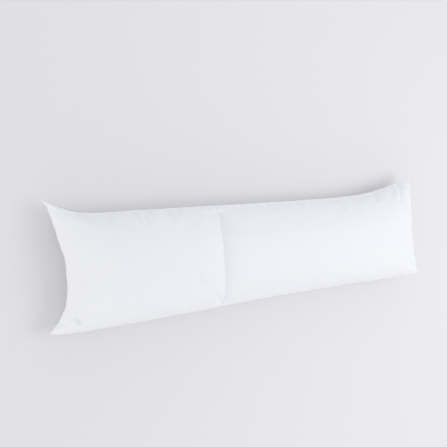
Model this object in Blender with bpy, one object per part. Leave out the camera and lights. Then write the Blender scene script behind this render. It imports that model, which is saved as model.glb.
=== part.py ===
"""A body pillow of plain white cotton, filled and sewn shut, lying on its back.

It is one closed, filled solid. The face and the back are cut alike and meet all round at a
knife-edge seam, which is drawn in along the sides and stands out to four thin ears at the
corners. The filling has parted at one place, so a crease runs across the face there.
X runs along the pillow, Y across it and Z up, in metres, with the origin under the middle.
"""

import math

import bmesh
import bpy
import numpy as np

# Driving sizes: the seam's plan, from ear tip to ear tip
LENGTH = 1.460
WIDTH = 0.388
LEFT_END_IN = 0.054
RIGHT_END_IN = 0.046
END_ROUNDNESS = 2.4

# Driving sizes: the seam's height over the flat underside, and the filling's rise on each side
SEAM_HEIGHT = 0.082
FACE_CROWN = 0.110
BACK_CROWN = 0.100
CROWN_ACROSS = (2.2, 0.60)
CROWN_AT_LEFT_END = (6.0, 0.60)
CROWN_AT_RIGHT_END = (8.0, 0.55)

# Sections along the pillow, from -1 at the left end to 1 at the right: how far the two long
# seams are drawn in there, and the face's share of its full crown
SECTIONS = (
    # along, upper_in, lower_in, crown
    (-1.00, 0.000, 0.000, 1.00),
    (-0.86, 0.039, 0.000, 1.00),
    (-0.60, 0.046, 0.002, 1.00),
    (-0.36, 0.050, 0.004, 1.03),
    (-0.20, 0.053, 0.006, 0.97),
    (0.00, 0.055, 0.008, 0.96),
    (0.20, 0.058, 0.007, 0.99),
    (0.60, 0.056, 0.004, 1.02),
    (0.86, 0.028, 0.000, 1.04),
    (1.00, 0.000, 0.000, 1.00),
)

# How the ears stand or droop: the corner's side of X and Y, and its rise over the seam's height
EARS = (
    # end, edge, rise
    (-1, 1, -0.030),
    (1, 1, -0.022),
    (-1, -1, -0.020),
    (1, -1, 0.016),
)
EAR_REACH = (12, 4)

# The crease across the face: its ends at the two long seams, and its two unequal banks
CREASE_UPPER_X = -0.186
CREASE_LOWER_X = -0.182
CREASE_BOW = -0.030
CREASE_DEPTH = 0.017
CREASE_LEFT_BANK = 0.024
CREASE_RIGHT_BANK = 0.056
CREASE_SHARPNESS = 1.4
CREASE_FADE = 7

# Creases and folds fade out towards the seam, from this share of the full crown
FULL_DEPTH_FROM = 0.45

# Short folds in the face, at the corners and the crease's foot: each is a straight trough
FOLDS = (
    # start_x, start_y, end_x, end_y, half_width, depth
    (-0.690, 0.176, -0.620, 0.132, 0.013, 0.008),
    (-0.705, -0.168, -0.655, -0.150, 0.012, 0.007),
    (-0.684, -0.112, -0.640, -0.176, 0.011, 0.005),
    (0.660, 0.168, 0.560, 0.132, 0.014, 0.007),
    (0.640, 0.168, 0.590, 0.110, 0.012, 0.006),
    (0.700, -0.170, 0.630, -0.130, 0.014, 0.006),
    (-0.245, -0.112, -0.190, -0.165, 0.012, 0.006),
)

# The mesh's spacing: columns along the pillow crowd at the crease and the ends
COLUMNS = 92
ROWS = 22
COLUMN_CROWDING_AT_CREASE = 2.6
COLUMN_CROWDING_AT_ENDS = 1.6
CROWDING_WIDTH = 0.07

COTTON_COLOUR = (0.86, 0.87, 0.89, 1.0)
COTTON_ROUGHNESS = 0.92


def clear_scene():
    for old in list(bpy.data.objects):
        bpy.data.objects.remove(old, do_unlink=True)


def smooth_read(rows, column, at):
    """The table's column at a place, on a smooth curve through its rows."""
    places = [row[0] for row in rows]
    values = [row[column] for row in rows]
    last = len(rows) - 1
    i = 0
    while i < last - 1 and at > places[i + 1]:
        i += 1

    def slope(k):
        before, after = max(k - 1, 0), min(k + 1, last)
        return (values[after] - values[before]) / (places[after] - places[before])

    span = places[i + 1] - places[i]
    t = (at - places[i]) / span
    rise = (3 - 2 * t) * t * t
    start = (1 - t) ** 2 * t * span * slope(i)
    end = (t - 1) * t * t * span * slope(i + 1)
    return values[i] + (values[i + 1] - values[i]) * rise + start + end


def plan(u, v):
    """Where the cloth at share u along and v across lies, between the four drawn-in seams."""
    end_pull = 1 - abs(v) ** END_ROUNDNESS
    left = -LENGTH / 2 + LEFT_END_IN * end_pull
    right = LENGTH / 2 - RIGHT_END_IN * end_pull
    upper = WIDTH / 2 - smooth_read(SECTIONS, 1, u)
    lower = -WIDTH / 2 + smooth_read(SECTIONS, 2, u)
    return left + (right - left) * (u + 1) / 2, lower + (upper - lower) * (v + 1) / 2


def fullness(u, v):
    """The filling's share of its full rise: 1 in the middle, 0 at the seam."""
    end_power, end_root = CROWN_AT_LEFT_END if u < 0 else CROWN_AT_RIGHT_END
    across_power, across_root = CROWN_ACROSS
    along = max(1 - abs(u) ** end_power, 0.0) ** end_root
    return along * max(1 - abs(v) ** across_power, 0.0) ** across_root


def seam_height(u, v):
    """The seam's height, level but for the ears."""
    along_power, across_power = EAR_REACH
    height = SEAM_HEIGHT
    for end, edge, rise in EARS:
        height += rise * ((1 + end * u) / 2) ** along_power * ((1 + edge * v) / 2) ** across_power
    return height


def crease_x(v):
    """The crease's place along the pillow, a slightly bowed line from seam to seam."""
    middle = (CREASE_UPPER_X + CREASE_LOWER_X) / 2
    return middle + (CREASE_UPPER_X - CREASE_LOWER_X) / 2 * v + CREASE_BOW * (1 - v * v)


def crease_drop(x, v):
    """How far the crease lowers the face: steep on its left bank, long on its right one."""
    away = x - crease_x(v)
    bank = CREASE_RIGHT_BANK if away > 0 else CREASE_LEFT_BANK
    return CREASE_DEPTH * (1 - abs(v) ** CREASE_FADE) * math.exp(-((abs(away) / bank) ** CREASE_SHARPNESS))


def fold_drop(x, y):
    """How far the short folds lower the face: each fades at its ends and sides."""
    drop = 0.0
    for start_x, start_y, end_x, end_y, half_width, depth in FOLDS:
        run_x, run_y = end_x - start_x, end_y - start_y
        length = math.hypot(run_x, run_y)
        along = ((x - start_x) * run_x + (y - start_y) * run_y) / length**2
        aside = ((x - start_x) * run_y - (y - start_y) * run_x) / length
        past_end = max(-along, along - 1, 0.0) * length
        drop += depth * math.exp(-(aside / half_width) ** 2 - (past_end / half_width) ** 2)
    return drop


def column_places():
    """The columns' places along the pillow, from -1 to 1, closer at the crease and the ends."""
    crease = crease_x(0) / (LENGTH / 2)
    fine = np.linspace(-1, 1, 2001)
    crowding = 1 + COLUMN_CROWDING_AT_CREASE * np.exp(-(((fine - crease) / CROWDING_WIDTH) ** 2))
    crowding += COLUMN_CROWDING_AT_ENDS * np.abs(fine) ** 10
    reached = np.concatenate([[0.0], np.cumsum((crowding[1:] + crowding[:-1]) / 2)])
    return np.interp(np.linspace(0, reached[-1], COLUMNS + 1), reached, fine)


def row_place(share):
    """A row's place across the pillow, from -1 to 1, closer at the two long seams."""
    return math.sin(share * math.pi / 2)


def face_point(u, v):
    x, y = plan(u, v)
    full = fullness(u, v)
    drop = (crease_drop(x, v) + fold_drop(x, y)) * min(1.0, full / FULL_DEPTH_FROM)
    return x, y, seam_height(u, v) + FACE_CROWN * smooth_read(SECTIONS, 3, u) * full - drop


def back_point(u, v):
    x, y = plan(u, v)
    return x, y, max(seam_height(u, v) - BACK_CROWN * fullness(u, v), 0.0)


def add_side(shell, point):
    """Adds one cut piece of cloth, a grid whose points take their places on the filled pillow."""
    places = column_places()
    grid = bmesh.ops.create_grid(shell, x_segments=COLUMNS, y_segments=ROWS, size=1.0)
    for corner in grid["verts"]:
        column = round((corner.co.x + 1) / 2 * COLUMNS)
        corner.co = point(float(places[column]), row_place(corner.co.y))
    return list({face for corner in grid["verts"] for face in corner.link_faces})


def cotton():
    material = bpy.data.materials.new("white cotton")
    material.use_nodes = True
    surface = material.node_tree.nodes["Principled BSDF"]
    surface.inputs["Base Color"].default_value = COTTON_COLOUR
    surface.inputs["Roughness"].default_value = COTTON_ROUGHNESS
    surface.inputs["Metallic"].default_value = 0.0
    return material


def build_pillow():
    shell = bmesh.new()
    add_side(shell, face_point)
    underside = add_side(shell, back_point)
    bmesh.ops.reverse_faces(shell, faces=underside)
    bmesh.ops.remove_doubles(shell, verts=shell.verts, dist=0.00001)
    mesh = bpy.data.meshes.new("pillow")
    shell.to_mesh(mesh)
    shell.free()
    mesh.shade_smooth()
    mesh.materials.append(cotton())
    pillow = bpy.data.objects.new("pillow", mesh)
    bpy.context.scene.collection.objects.link(pillow)
    return pillow


clear_scene()
build_pillow()
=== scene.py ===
"""A body pillow of plain white cotton, lying on its back on a pale floor.

X runs along the pillow, Y across it and Z up, in metres.
"""

import math

import bmesh
import bpy
import numpy as np
from mathutils import Matrix, Vector, noise


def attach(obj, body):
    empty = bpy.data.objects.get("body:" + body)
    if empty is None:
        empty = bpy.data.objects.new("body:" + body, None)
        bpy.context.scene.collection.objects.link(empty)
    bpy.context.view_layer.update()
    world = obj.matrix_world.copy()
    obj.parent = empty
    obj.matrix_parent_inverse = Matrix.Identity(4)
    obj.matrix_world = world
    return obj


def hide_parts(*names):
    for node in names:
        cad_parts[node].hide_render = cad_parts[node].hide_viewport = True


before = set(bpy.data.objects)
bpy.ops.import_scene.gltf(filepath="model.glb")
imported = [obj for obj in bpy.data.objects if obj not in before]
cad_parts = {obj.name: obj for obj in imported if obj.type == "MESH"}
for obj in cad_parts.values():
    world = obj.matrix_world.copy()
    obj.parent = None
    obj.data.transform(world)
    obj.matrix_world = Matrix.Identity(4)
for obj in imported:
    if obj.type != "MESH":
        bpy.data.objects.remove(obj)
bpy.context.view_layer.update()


# Camera
# It looks down on the pillow's face from beyond its left end, so the pillow runs away to the right.
CAMERA_PLACE = Vector((-1.159, 0.266, 1.840))
CAMERA_TURN = 0.5212
CAMERA_DIP = 0.0900
CAMERA_ROLL = -0.0488
CAMERA_LENS = 49.9
CAMERA_FILM = 36.0

ahead = Vector(
    (
        math.sin(CAMERA_TURN) * math.cos(CAMERA_DIP),
        -math.sin(CAMERA_DIP),
        -math.cos(CAMERA_TURN) * math.cos(CAMERA_DIP),
    )
)
aside = ahead.cross(Vector((0, 1, 0))).normalized()
upright = aside.cross(ahead)
camera = bpy.data.objects.new("camera", bpy.data.cameras.new("camera"))
camera.data.lens = CAMERA_LENS
camera.data.sensor_width = CAMERA_FILM
camera.matrix_world = (
    Matrix.Translation(CAMERA_PLACE)
    @ Matrix((aside, upright, -ahead)).transposed().to_4x4()
    @ Matrix.Rotation(CAMERA_ROLL, 4, "Z")
)
bpy.context.scene.collection.objects.link(camera)
bpy.context.scene.camera = camera


# Pillow
# A face and a back of fine white percale cotton, cut alike and sewn together inside out, then
# turned, filled with loose fibre and closed. It is one piece, with a knife-edge seam all round.
PILLOW_LENGTH = 1.460
PILLOW_WIDTH = 0.388
RIGHT_END_IN = 0.046
END_ROUNDNESS = 2.4
SEAM_HEIGHT = 0.082
FACE_CROWN = 0.110
BACK_CROWN = 0.100
FACE_ACROSS = (2.6, 0.60)
BACK_ACROSS = (2.2, 0.60)
CROWN_AT_LEFT_END = (8.0, 0.55)
CROWN_AT_RIGHT_END = (8.0, 0.55)

# The long seams' draw-in and the face's crown, by the place along the pillow from -1 to 1
SECTIONS = (
    # along, upper_in, lower_in, crown
    (-1.00, 0.000, 0.000, 1.00),
    (-0.86, 0.039, 0.000, 1.00),
    (-0.60, 0.046, 0.002, 1.00),
    (-0.36, 0.050, 0.004, 1.03),
    (-0.20, 0.053, 0.006, 0.97),
    (0.00, 0.055, 0.008, 0.96),
    (0.20, 0.058, 0.007, 0.99),
    (0.60, 0.056, 0.004, 1.02),
    (0.86, 0.028, 0.000, 1.04),
    (1.00, 0.000, 0.000, 1.00),
)

# The left end's draw-in, by the place across the pillow from -1 to 1
LEFT_END = (
    # across, in
    (-1.00, 0.000),
    (-0.80, 0.027),
    (-0.58, 0.046),
    (-0.34, 0.054),
    (-0.10, 0.055),
    (0.12, 0.053),
    (0.30, 0.0455),
    (0.46, 0.0385),
    (0.64, 0.031),
    (0.82, 0.0225),
    (0.92, 0.018),
    (1.00, 0.000),
)

# How far the four ears stand up or droop, and how far their tips stick out along and across
EARS = (
    # end, edge, rise, along, across
    (-1, 1, -0.030, -0.004, 0.009),
    (1, 1, -0.022, 0.003, 0.003),
    (-1, -1, -0.020, -0.006, 0.007),
    (1, -1, 0.016, 0.006, 0.006),
)
EAR_REACH = (12, 4)
TIP_REACH = (60, 24)

# The line across the face where the filling has parted, slightly bowed from seam to seam
CREASE_UPPER_X = -0.184
CREASE_LOWER_X = -0.181
CREASE_BOW = -0.030
CREASE_SHARE = -0.29
CREASE_PULL = 0.16


def read_table(table, column, at):
    """A column of a table at places, on a smooth curve through its rows."""
    places, values = np.array(table)[:, 0], np.array(table)[:, column]
    slopes = np.empty(len(places))
    slopes[1:-1] = (values[2:] - values[:-2]) / (places[2:] - places[:-2])
    slopes[0] = (values[1] - values[0]) / (places[1] - places[0])
    slopes[-1] = (values[-1] - values[-2]) / (places[-1] - places[-2])
    i = np.clip(np.searchsorted(places, at) - 1, 0, len(places) - 2)
    span = places[i + 1] - places[i]
    t = (at - places[i]) / span
    rise = (3 - 2 * t) * t * t
    start = (1 - t) ** 2 * t * span * slopes[i]
    end = (t - 1) * t * t * span * slopes[i + 1]
    return values[i] + (values[i + 1] - values[i]) * rise + start + end


def full_along(u):
    """The filling's share of its rise at a share along the pillow, from -1 to 1."""
    power = np.where(u < 0, CROWN_AT_LEFT_END[0], CROWN_AT_RIGHT_END[0])
    root = np.where(u < 0, CROWN_AT_LEFT_END[1], CROWN_AT_RIGHT_END[1])
    return np.maximum(1 - np.abs(u) ** power, 0) ** root


def full_across(v, crown=FACE_ACROSS):
    """The filling's share of its rise at a share across the pillow, from -1 to 1."""
    return np.maximum(1 - np.abs(v) ** crown[0], 0) ** crown[1]


def crease_line(v):
    middle = (CREASE_UPPER_X + CREASE_LOWER_X) / 2
    return middle + (CREASE_UPPER_X - CREASE_LOWER_X) / 2 * v + CREASE_BOW * (1 - v * v)


def filled_places(u, v, side):
    """The filled cloth's points at shares u along and v across, on side 1, the face, or -1, the back."""
    left = -PILLOW_LENGTH / 2 + read_table(LEFT_END, 1, v)
    right = PILLOW_LENGTH / 2 - RIGHT_END_IN * (1 - np.abs(v) ** END_ROUNDNESS)
    upper = PILLOW_WIDTH / 2 - read_table(SECTIONS, 1, u)
    lower = -PILLOW_WIDTH / 2 + read_table(SECTIONS, 2, u)
    to_crease = crease_line(v) - left - (right - left) * (crease_share + 1) / 2
    near_crease = np.exp(-(((u - crease_share) / CREASE_PULL) ** 2))
    x = left + (right - left) * (u + 1) / 2 + to_crease * near_crease
    y = lower + (upper - lower) * (v + 1) / 2
    seam = SEAM_HEIGHT
    for end, edge, rise, ear_along, ear_across in EARS:
        to_end, to_edge = (1 + end * u) / 2, (1 + edge * v) / 2
        tip = to_end ** TIP_REACH[0] * to_edge ** TIP_REACH[1]
        x = x + ear_along * tip
        y = y + ear_across * tip
        seam = seam + rise * to_end ** EAR_REACH[0] * to_edge ** EAR_REACH[1]
    if side > 0:
        z = seam + FACE_CROWN * read_table(SECTIONS, 3, u) * full_along(u) * full_across(v)
    else:
        z = np.maximum(seam - BACK_CROWN * full_along(u) * full_across(v, BACK_ACROSS), 0)
    return np.stack([x, y, z], -1)


# Each side is a grid of threads, spread evenly on the bulging cloth but closer at the seams and
# the crease. One thread follows the crease.
CLOTH_COLUMNS = 240
CLOTH_ROWS = 50
PLACES_MEASURED = 8001
WELD_REACH = 0.00001
CLOSER_ALONG = (
    # place, extra, half_width
    (-1.0, 1.2, 0.02),
    (CREASE_SHARE, 1.6, 0.05),
    (1.0, 1.2, 0.02),
)
CLOSER_ACROSS = (
    # place, extra, half_width
    (-1.0, 1.6, 0.04),
    (1.0, 1.6, 0.04),
)


def spread_threads(full, half, closer, count):
    """The threads' places from -1 to 1, and each one's distance on the cloth from its middle."""
    fine = np.linspace(-1, 1, PLACES_MEASURED)
    cloth = np.hypot(np.diff(fine) * half, np.diff(full(fine)) * FACE_CROWN)
    middles = (fine[1:] + fine[:-1]) / 2
    closeness = 1 + sum(
        extra * np.exp(-(((middles - place) / width) ** 2)) for place, extra, width in closer
    )
    crowded = np.concatenate([[0], np.cumsum(cloth * closeness)])
    reached = np.concatenate([[0], np.cumsum(cloth)])
    places = np.interp(np.linspace(0, crowded[-1], count + 1), crowded, fine)
    return places, np.interp(places, fine, reached) - reached[-1] / 2


half_length = PILLOW_LENGTH / 2 - RIGHT_END_IN
half_width = PILLOW_WIDTH / 2 - read_table(SECTIONS, 1, 0.0) / 2
column_places, along_cloth = spread_threads(full_along, half_length, CLOSER_ALONG, CLOTH_COLUMNS)
row_places, across_cloth = spread_threads(full_across, half_width, CLOSER_ACROSS, CLOTH_ROWS)
crease_share = column_places[np.argmin(np.abs(column_places - CREASE_SHARE))]

shell = bmesh.new()
cut = shell.loops.layers.uv.new("cut")
along_cut = shell.verts.layers.float.new("along_cut")
across_cut = shell.verts.layers.float.new("across_cut")
which_side = shell.verts.layers.float.new("which_side")
for side in (1, -1):
    made = bmesh.ops.create_grid(shell, x_segments=CLOTH_COLUMNS, y_segments=CLOTH_ROWS, size=1.0)
    spots = np.array([corner.co[:2] for corner in made["verts"]])
    column = np.rint((spots[:, 0] + 1) / 2 * CLOTH_COLUMNS).astype(int)
    row = np.rint((spots[:, 1] + 1) / 2 * CLOTH_ROWS).astype(int)
    places = filled_places(column_places[column], row_places[row], side)
    cut_places = zip(along_cloth[column], across_cloth[row])
    for corner, place, (along, across) in zip(made["verts"], places, cut_places):
        corner[along_cut] = along
        corner[across_cut] = across
        corner[which_side] = 0 if corner.is_boundary else side
        corner.co = place
    cloth = list({face for corner in made["verts"] for face in corner.link_faces})
    for face in cloth:
        for loop in face.loops:
            loop[cut].uv = (loop.vert[along_cut], loop.vert[across_cut] + side * PILLOW_WIDTH)
    if side < 0:
        bmesh.ops.reverse_faces(shell, faces=cloth)
bmesh.ops.remove_doubles(shell, verts=shell.verts, dist=WELD_REACH)
mesh = bpy.data.meshes.new("pillow_cotton")
shell.to_mesh(mesh)
shell.free()
mesh.shade_smooth()
pillow = bpy.data.objects.new("pillow_cotton", mesh)
bpy.context.scene.collection.objects.link(pillow)


def points_of(mesh):
    """The mesh's points, as rows of x, y and z."""
    points = np.empty(len(mesh.vertices) * 3)
    mesh.vertices.foreach_get("co", points)
    return points.reshape(-1, 3)


def normals_of(mesh):
    """The mesh's directions outwards at its points."""
    normals = np.empty(len(mesh.vertices) * 3)
    mesh.vertex_normals.foreach_get("vector", normals)
    return normals.reshape(-1, 3)


def values_of(mesh, name):
    """A value kept at each of the mesh's points."""
    values = np.empty(len(mesh.vertices))
    mesh.attributes[name].data.foreach_get("value", values)
    return values


def move_points(mesh, points):
    mesh.vertices.foreach_set("co", np.ascontiguousarray(points).ravel())
    mesh.update()


def eased(low, high, values):
    """0 up to low, 1 from high on, and a smooth rise between."""
    t = np.clip((values - low) / (high - low), 0, 1)
    return t * t * (3 - 2 * t)


NOISE_TURN = np.array(Matrix.Rotation(0.7, 3, Vector((1, 2, 3))))


def drift(points, wave, seed):
    """Smooth noise between about -1 and 1 over the points, with waves of this length."""
    places = points @ NOISE_TURN / wave + seed
    return np.array([noise.noise(place) for place in places])


def seam_distances(mesh):
    """Each point's distances on the cloth from the long seams and from the end seams."""
    from_long = across_cloth[-1] - np.abs(values_of(mesh, "across_cut"))
    from_end = along_cloth[-1] - np.abs(values_of(mesh, "along_cut"))
    return np.maximum(from_long, 0), np.maximum(from_end, 0)


# The filling's low lumps, which fade at the seam and at the flat patch that the pillow lies on, and
# the seam's own slight wander up and down
LUMPS = (
    # wave, height
    (0.21, 0.0040),
    (0.09, 0.0018),
)
LUMP_SEED = 3.7
LUMP_FADE = 0.08
PATCH_FADE = 0.02
SEAM_WANDER = 0.0022
SEAM_WANDER_WAVE = 0.085
SEAM_WANDER_SEED = 8.1
SEAM_WANDER_FADE = 0.06

from_long, from_end = seam_distances(mesh)
from_seam = np.minimum(from_long, from_end)
start = points_of(mesh)
lumps = sum(height * drift(start, wave, LUMP_SEED) for wave, height in LUMPS)
lumps *= eased(0.0, LUMP_FADE, from_seam) * eased(0.0, PATCH_FADE, start[:, 2])
wander = SEAM_WANDER * drift(start * (1, 1, 0), SEAM_WANDER_WAVE, SEAM_WANDER_SEED)
wander *= 1 - eased(0.0, SEAM_WANDER_FADE, from_seam)
start += normals_of(mesh) * lumps[:, None] + np.outer(wander, (0, 0, 1))
move_points(mesh, start)

# The filling presses the cloth out. There is a little too much cloth at the drawn-in seams, so it
# puckers there, more in some places than in others. At the thin ears nothing moves.
FILLING_PRESSURE = 2.5
SETTLING_FRAMES = 14
SETTLING_STEPS = 5
THREAD_MASS = 0.15
STRETCH_STIFFNESS = 15
SHEAR_STIFFNESS = 10
BENDING_STIFFNESS = 3
SPARE_AT_LONG_SEAMS = 0.030
SPARE_AT_FACE_FRONT = 0.012
SPARE_AT_END_SEAMS = 0.034
SPARE_FADE = (0.01, 0.085)
SPARE_UNEVENNESS = 0.9
SPARE_WAVE = 0.08
SPARE_SEED = 11.3
PATCH_HEIGHT = 0.0005
MOST_MOVE = 0.009
STILL_AT_EARS = (0.02, 0.09)


def put_in_group(thing, name, weights):
    """Adds a vertex group with these weights, leaving out the points of weight 0."""
    group = thing.vertex_groups.new(name=name)
    for index in np.nonzero(weights)[0]:
        group.add([int(index)], float(weights[index]), "REPLACE")
    return group.name


uneven = 1 + SPARE_UNEVENNESS * drift(start, SPARE_WAVE, SPARE_SEED)
smooth = (start[:, 1] < 0) & (values_of(mesh, "which_side") > 0)
spare = np.where(smooth, SPARE_AT_FACE_FRONT, SPARE_AT_LONG_SEAMS)
spare = spare * (1 - eased(*SPARE_FADE, from_long))
spare = np.maximum(spare, SPARE_AT_END_SEAMS * (1 - eased(*SPARE_FADE, from_end))) * uneven
on_seam = values_of(mesh, "which_side") == 0
spare[on_seam] = 0
held = on_seam | (start[:, 2] < PATCH_HEIGHT)
filling = pillow.modifiers.new("filling", "CLOTH")
filling.settings.quality = SETTLING_STEPS
filling.settings.mass = THREAD_MASS
filling.settings.tension_stiffness = STRETCH_STIFFNESS
filling.settings.compression_stiffness = STRETCH_STIFFNESS
filling.settings.shear_stiffness = SHEAR_STIFFNESS
filling.settings.bending_stiffness = BENDING_STIFFNESS
filling.settings.use_pressure = True
filling.settings.uniform_pressure_force = FILLING_PRESSURE
filling.settings.effector_weights.gravity = 0
filling.settings.vertex_group_mass = put_in_group(pillow, "held", held.astype(float))
filling.settings.vertex_group_shrink = put_in_group(pillow, "taut", 1 - spare / spare.max())
filling.settings.shrink_min = -float(spare.max())
filling.settings.shrink_max = 0.0
for step in range(1, SETTLING_FRAMES + 1):
    bpy.context.scene.frame_set(step)
settled = pillow.evaluated_get(bpy.context.evaluated_depsgraph_get())
move = points_of(settled.data) - start
pillow.modifiers.remove(filling)
pillow.vertex_groups.clear()
bpy.context.scene.frame_set(1)
far = np.linalg.norm(move, axis=1)
share = eased(*STILL_AT_EARS, np.hypot(from_long, from_end)) / np.sqrt(1 + (far / MOST_MOVE) ** 2)
move_points(mesh, start + move * share[:, None])

pillow.modifiers.new("finer threads", "SUBSURF").levels = 1
finer = bpy.data.meshes.new_from_object(pillow.evaluated_get(bpy.context.evaluated_depsgraph_get()))
pillow.modifiers.clear()
pillow.data = finer
bpy.data.meshes.remove(mesh)
mesh = finer
mesh.name = "pillow_cotton"

# The crease: the cloth on its left rolls down to a rounded shoulder over a steep wall, and leans
# over it a little. On its right it comes up in a short bank and a long one.
CREASE_DEPTH = 0.023
CREASE_WALL = 0.0038
WALL_SHARPNESS = 1.6
CREASE_SHORT_BANK = 0.016
CREASE_LONG_BANK = 0.050
CREASE_SHORT_SHARE = 0.45
BANK_SHARPNESS = 1.3
SHOULDER_ROLL = 0.016
SHOULDER_WIDTH = 0.052
SHOULDER_LEAN = 0.005
LEAN_SPREAD = 4
CREASE_FADE = (0.020, 0.050)

# Short folds in the face, at the ears and the crease's foot, and puckers at the upper seam: each
# is a straight trough, or a ridge where its depth is below 0.
FOLDS = (
    # start_x, start_y, end_x, end_y, half_width, depth
    (-0.690, 0.178, -0.638, 0.152, 0.009, 0.008),
    (-0.668, 0.170, -0.636, 0.154, 0.005, 0.007),
    (-0.676, 0.156, -0.640, 0.134, 0.008, -0.003),
    (-0.700, -0.170, -0.660, -0.156, 0.009, 0.005),
    (-0.694, -0.106, -0.654, -0.162, 0.009, 0.009),
    (-0.690, -0.128, -0.664, -0.160, 0.006, -0.004),
    (-0.704, -0.158, -0.698, -0.162, 0.004, 0.007),
    (0.660, 0.168, 0.560, 0.132, 0.011, 0.006),
    (0.640, 0.168, 0.590, 0.110, 0.010, 0.006),
    (0.608, 0.150, 0.584, 0.128, 0.005, -0.003),
    (0.700, -0.170, 0.630, -0.130, 0.012, 0.006),
    (-0.240, -0.120, -0.194, -0.168, 0.006, 0.005),
    (-0.306, -0.066, -0.258, -0.128, 0.008, 0.0025),
    (-0.262, -0.100, -0.222, -0.165, 0.007, 0.003),
    (-0.226, 0.086, -0.204, 0.072, 0.004, 0.003),
    (-0.560, 0.150, -0.556, 0.128, 0.004, 0.0030),
    (-0.525, 0.148, -0.528, 0.130, 0.004, 0.0030),
    (-0.473, 0.146, -0.466, 0.120, 0.004, 0.0035),
    (-0.440, 0.146, -0.444, 0.112, 0.005, 0.0045),
    (-0.416, 0.146, -0.422, 0.122, 0.004, 0.0035),
    (-0.369, 0.146, -0.362, 0.106, 0.006, 0.0040),
    (-0.200, 0.142, -0.194, 0.112, 0.005, -0.0040),
    (-0.086, 0.140, -0.092, 0.112, 0.005, 0.0030),
    (0.026, 0.140, 0.034, 0.098, 0.006, 0.0040),
    (0.150, 0.138, 0.144, 0.116, 0.005, 0.0025),
    (0.278, 0.140, 0.270, 0.112, 0.005, 0.0030),
    (0.300, 0.138, 0.310, 0.094, 0.006, 0.0040),
    (0.420, 0.142, 0.434, 0.118, 0.005, 0.0030),
)

# The seam stands out as a thin ridge, with its allowances folded inside, and ends at the ears.
RIDGE_OUT = 0.0030
RIDGE_REACH = 0.0042
RIDGE_SHARPNESS = 1.5
RIDGE_FADE = (0.01, 0.05)
LEAST_OUTWARD = 0.001

# Faint rumples in the cloth, in patches
RUMPLE_WAVE = 0.042
RUMPLE_HEIGHT = 0.0007
RUMPLE_SEED = 5.9
RUMPLE_FADE = 0.02
RUMPLE_PATCH = 0.24
RUMPLE_PATCH_EDGE = (-0.3, 0.5)
RUMPLE_PATCH_SEED = 2.2

# Folds fade out towards the seam, from this share of the full crown
FULL_DEPTH_FROM = 0.45

places = points_of(mesh)
normals = normals_of(mesh)
side = values_of(mesh, "which_side")
from_long, from_end = seam_distances(mesh)
from_seam = np.minimum(from_long, from_end)
u = np.interp(values_of(mesh, "along_cut"), along_cloth, column_places)
v = np.interp(values_of(mesh, "across_cut"), across_cloth, row_places)
thick = np.minimum(1, full_along(u) * full_across(v) / FULL_DEPTH_FROM)

patches = eased(*RUMPLE_PATCH_EDGE, drift(places, RUMPLE_PATCH, RUMPLE_PATCH_SEED))
rumples = (1 - 2 * np.abs(drift(places, RUMPLE_WAVE, RUMPLE_SEED))) * patches
rumples *= RUMPLE_HEIGHT * eased(0.0, RUMPLE_FADE, from_seam) * eased(0.0, PATCH_FADE, places[:, 2])

away = places[:, 0] - crease_line(v)
wall = np.exp(-((np.abs(away) / CREASE_WALL) ** WALL_SHARPNESS))
bank = CREASE_SHORT_SHARE * np.exp(-((np.abs(away) / CREASE_SHORT_BANK) ** BANK_SHARPNESS))
bank += (1 - CREASE_SHORT_SHARE) * np.exp(-((np.abs(away) / CREASE_LONG_BANK) ** BANK_SHARPNESS))
shoulder = SHOULDER_ROLL * np.exp(-((np.abs(away) / SHOULDER_WIDTH) ** BANK_SHARPNESS))
creased = eased(*CREASE_FADE, from_long) * (side > 0)
drop = np.where(away < 0, shoulder + (CREASE_DEPTH - shoulder) * wall, CREASE_DEPTH * bank) * creased
lean = SHOULDER_LEAN * np.exp(-((away / SHOULDER_LEAN + 1) ** 2) / LEAN_SPREAD) * creased * (away < 0)

for start_x, start_y, end_x, end_y, half, depth in FOLDS:
    run = np.array([end_x - start_x, end_y - start_y])
    length = np.linalg.norm(run)
    offset = places[:, :2] - (start_x, start_y)
    along = offset @ run / length**2
    sideways = (offset[:, 0] * run[1] - offset[:, 1] * run[0]) / length
    past_end = np.maximum(np.maximum(-along, along - 1), 0) * length
    drop += depth * np.exp(-((sideways / half) ** 2) - (past_end / half) ** 2) * thick * (side > 0)

outward = normals * (1, 1, 0)
outward /= np.maximum(np.linalg.norm(outward, axis=1), LEAST_OUTWARD)[:, None]
ridge = RIDGE_OUT * np.exp(-((from_seam / RIDGE_REACH) ** RIDGE_SHARPNESS))
ridge *= eased(*RIDGE_FADE, np.hypot(from_long, from_end))
places += (
    normals * rumples[:, None]
    + outward * ridge[:, None]
    + np.outer(lean, (1, 0, 0))
    - np.outer(drop, (0, 0, 1))
)
places[:, 2] = np.maximum(places[:, 2], 0)
move_points(mesh, places)

# How far each point is from the seam, and how far along it, for the seam's stitches
seam_run = np.where(from_long < from_end, values_of(mesh, "along_cut"), values_of(mesh, "across_cut"))
for name, values in (("from_seam", from_seam), ("seam_run", seam_run)):
    mesh.attributes.new(name, "FLOAT", "POINT").data.foreach_set("value", values)

# The percale: a plain weave of fine threads, some a little thicker than others, with a faint
# rumple from wear. The seam shows as a narrow groove that each stitch draws in, and the cloth's
# colour is darkened in that groove as painted shade.
THREAD_PITCH = 0.0005
THREAD_WANDER = 0.0012
WANDER_SCALE = 220.0
SLUB_WIDTH = 0.0012
SLUB_LENGTH = 0.06
STITCH_LENGTH = 0.0028
RUMPLE_RELIEF = 0.00035
SEAM_RELIEF = 0.0006
SLUB_RELIEF = 0.00007
THREAD_RELIEF = 0.00004
DARK_COTTON = (0.834, 0.839, 0.855, 1)
LIGHT_COTTON = (0.858, 0.861, 0.875, 1)

percale = bpy.data.materials.new("white percale")
percale.use_nodes = True
tree = percale.node_tree
surface = tree.nodes["Principled BSDF"]


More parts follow.
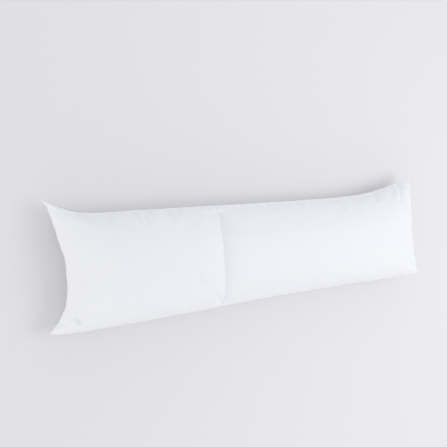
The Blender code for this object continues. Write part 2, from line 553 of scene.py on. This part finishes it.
def add_node(kind, feeds, output=0, **settings):
    """Adds a node, sets it up, feeds its inputs with sockets or values, and gives one output."""
    node = tree.nodes.new(kind)
    for name, value in settings.items():
        setattr(node, name, value)
    for name, feed in feeds.items():
        if isinstance(feed, bpy.types.NodeSocket):
            tree.links.new(feed, node.inputs[name])
        else:
            node.inputs[name].default_value = feed
    return node.outputs[output]


def maths(operation, *feeds):
    return add_node("ShaderNodeMath", dict(enumerate(feeds)), operation=operation)


cloth_map = add_node("ShaderNodeUVMap", {}, uv_map="cut")
thread_drift = add_node(
    "ShaderNodeTexNoise", {"Vector": cloth_map, "Scale": WANDER_SCALE, "Detail": 2.0}, output="Color"
)
wandered = add_node(
    "ShaderNodeVectorMath",
    {0: thread_drift, 1: (THREAD_WANDER, THREAD_WANDER, 0), 2: cloth_map},
    operation="MULTIPLY_ADD",
)
halves = tree.nodes.new("ShaderNodeSeparateXYZ")
tree.links.new(wandered, halves.inputs[0])
warp_wave = maths("SINE", maths("MULTIPLY", halves.outputs[0], math.pi / THREAD_PITCH))
weft_wave = maths("SINE", maths("MULTIPLY", halves.outputs[1], math.pi / THREAD_PITCH))
warp_on_top = maths("MULTIPLY_ADD", maths("MULTIPLY", warp_wave, weft_wave), 0.5, 0.5)
threads = add_node(
    "ShaderNodeMix",
    {0: warp_on_top, 2: maths("ABSOLUTE", weft_wave), 3: maths("ABSOLUTE", warp_wave)},
)
slubs = []
for stretch in ((1 / SLUB_WIDTH, 1 / SLUB_LENGTH, 1), (1 / SLUB_LENGTH, 1 / SLUB_WIDTH, 1)):
    stretched = add_node("ShaderNodeMapping", {"Vector": cloth_map, "Scale": stretch})
    slubs.append(add_node("ShaderNodeTexNoise", {"Vector": stretched, "Scale": 1.0, "Detail": 1.0}))
slub = maths("MULTIPLY", maths("ADD", *slubs), 0.5)
soft_noise = add_node("ShaderNodeTexNoise", {"Vector": cloth_map, "Scale": 38.0, "Detail": 3.0})
rumple_noise = add_node(
    "ShaderNodeTexNoise",
    {"Vector": cloth_map, "Scale": 75.0, "Detail": 2.0, "Distortion": 0.6},
    noise_type="RIDGED_MULTIFRACTAL",
)
seam_away = add_node("ShaderNodeAttribute", {}, output=2, attribute_name="from_seam")
seam_along = add_node("ShaderNodeAttribute", {}, output=2, attribute_name="seam_run")
# The seam groove's profile: it shapes the groove's bump, and it also sets where painted shade darkens the
# colour
groove_and_painted_shade = add_node("ShaderNodeMapRange", {0: seam_away, 1: 0.0, 2: 0.0018}, interpolation_type="SMOOTHSTEP")
near_seam = add_node("ShaderNodeMapRange", {0: seam_away, 1: 0.001, 2: 0.007, 3: 1.0, 4: 0.0})
stitches = maths("SINE", maths("MULTIPLY", seam_along, 2 * math.pi / STITCH_LENGTH))
seam_relief = maths("MULTIPLY_ADD", maths("MULTIPLY", stitches, near_seam), 0.25, groove_and_painted_shade)

slub_tone = add_node("ShaderNodeMapRange", {0: slub, 1: 0.40, 2: 0.60})
soft_tone = add_node("ShaderNodeMapRange", {0: soft_noise, 1: 0.30, 2: 0.70})
tone = maths("MULTIPLY_ADD", slub_tone, 0.6, maths("MULTIPLY", soft_tone, 0.4))
cotton = add_node("ShaderNodeMix", {0: tone, 6: DARK_COTTON, 7: LIGHT_COTTON}, output=2, data_type="RGBA")
# Painted shade: the cotton's colour is darkened by up to 12% in the seam groove, standing in for the
# shadow line there
painted_seam_shade = maths("MULTIPLY_ADD", groove_and_painted_shade, 0.12, 0.88)
cotton_with_painted_shade = add_node(
    "ShaderNodeMix", {0: 1.0, 6: cotton, 7: painted_seam_shade}, output=2, data_type="RGBA", blend_type="MULTIPLY"
)
rough = add_node("ShaderNodeBump", {"Strength": 1.0, "Distance": RUMPLE_RELIEF, "Height": rumple_noise})
seamed = add_node(
    "ShaderNodeBump",
    {"Strength": 1.0, "Distance": SEAM_RELIEF, "Height": seam_relief, "Normal": rough},
)
slubbed = add_node(
    "ShaderNodeBump",
    {"Strength": 1.0, "Distance": SLUB_RELIEF, "Height": slub, "Normal": seamed},
)
woven = add_node(
    "ShaderNodeBump",
    {"Strength": 1.0, "Distance": THREAD_RELIEF, "Height": threads, "Normal": slubbed},
)
tree.links.new(cotton_with_painted_shade, surface.inputs["Base Color"])
tree.links.new(woven, surface.inputs["Normal"])
surface.inputs["Roughness"].default_value = 0.82
surface.inputs["Specular IOR Level"].default_value = 0.25
surface.inputs["Sheen Weight"].default_value = 0.08
surface.inputs["Sheen Roughness"].default_value = 0.5
mesh.materials.append(percale)
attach(pillow, "root")
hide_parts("pillow")


# Floor
# A plain pale studio floor. Far from the pillow it fades into the background, so that no edge
# shows in low views.
FLOOR_HALF = 25.0
FLOOR_COLOUR = (0.768, 0.768, 0.774, 1)
FLOOR_ROUGHNESS = 0.9
FADE_FROM = 3.0
FADE_TO = 7.0
BACKGROUND_COLOUR = (0.955, 0.96, 1.0, 1)
BACKGROUND_STRENGTH = 0.838

ground = bmesh.new()
bmesh.ops.create_grid(ground, x_segments=1, y_segments=1, size=FLOOR_HALF)
floor_mesh = bpy.data.meshes.new("floor")
ground.to_mesh(floor_mesh)
ground.free()
floor = bpy.data.objects.new("floor", floor_mesh)
bpy.context.scene.collection.objects.link(floor)
pale = bpy.data.materials.new("pale floor")
pale.use_nodes = True
floor_tree = pale.node_tree
near = floor_tree.nodes["Principled BSDF"]
near.inputs["Base Color"].default_value = FLOOR_COLOUR
near.inputs["Roughness"].default_value = FLOOR_ROUGHNESS
far = floor_tree.nodes.new("ShaderNodeEmission")
far.inputs["Color"].default_value = BACKGROUND_COLOUR
far.inputs["Strength"].default_value = BACKGROUND_STRENGTH
floor_place = floor_tree.nodes.new("ShaderNodeTexCoord")
distance = floor_tree.nodes.new("ShaderNodeVectorMath")
distance.operation = "LENGTH"
fade = floor_tree.nodes.new("ShaderNodeMapRange")
fade.interpolation_type = "SMOOTHSTEP"
fade.inputs["From Min"].default_value = FADE_FROM
fade.inputs["From Max"].default_value = FADE_TO
blend = floor_tree.nodes.new("ShaderNodeMixShader")
floor_tree.links.new(floor_place.outputs["Object"], distance.inputs[0])
floor_tree.links.new(distance.outputs["Value"], fade.inputs["Value"])
floor_tree.links.new(fade.outputs["Result"], blend.inputs["Fac"])
floor_tree.links.new(near.outputs["BSDF"], blend.inputs[1])
floor_tree.links.new(far.outputs["Emission"], blend.inputs[2])
floor_tree.links.new(blend.outputs["Shader"], floor_tree.nodes["Material Output"].inputs["Surface"])
floor_mesh.materials.append(pale)


# Light
# Soft studio light: a bright room all round, a large soft box over the right half, a low warm one
# beyond the left end, and two weak ones along the sides.
world = bpy.data.worlds.new("studio")
world.use_nodes = True
world.node_tree.nodes["Background"].inputs["Color"].default_value = BACKGROUND_COLOUR
world.node_tree.nodes["Background"].inputs["Strength"].default_value = BACKGROUND_STRENGTH
bpy.context.scene.world = world
SOFT_BOXES = (
    # name, place, aim, width, height, watts, colour
    ("over", (1.6, -0.2, 2.6), (0.5, 0.0, 0.1), 1.8, 1.8, 20.9, (1.0, 0.994, 0.97)),
    ("left", (-2.6, -0.2, 0.16), (-0.5, 0.0, 0.1), 1.8, 0.26, 8.8, (1.0, 0.98, 0.85)),
    ("front", (0.0, -2.6, 1.2), (0.0, 0.0, 0.1), 2.8, 1.6, 6.4, (1.0, 0.993, 0.988)),
    ("back", (0.0, 2.6, 1.2), (0.0, 0.0, 0.1), 2.8, 1.6, 5.2, (0.91, 0.935, 1.0)),
)
for name, place, aim, width, height, watts, colour in SOFT_BOXES:
    light = bpy.data.lights.new(name, "AREA")
    light.shape = "RECTANGLE"
    light.size = width
    light.size_y = height
    light.energy = watts
    light.color = colour
    holder = bpy.data.objects.new(name, light)
    holder.location = place
    holder.rotation_euler = (Vector(aim) - Vector(place)).to_track_quat("-Z", "Y").to_euler()
    bpy.context.scene.collection.objects.link(holder)
bpy.context.scene.view_settings.view_transform = "Standard"
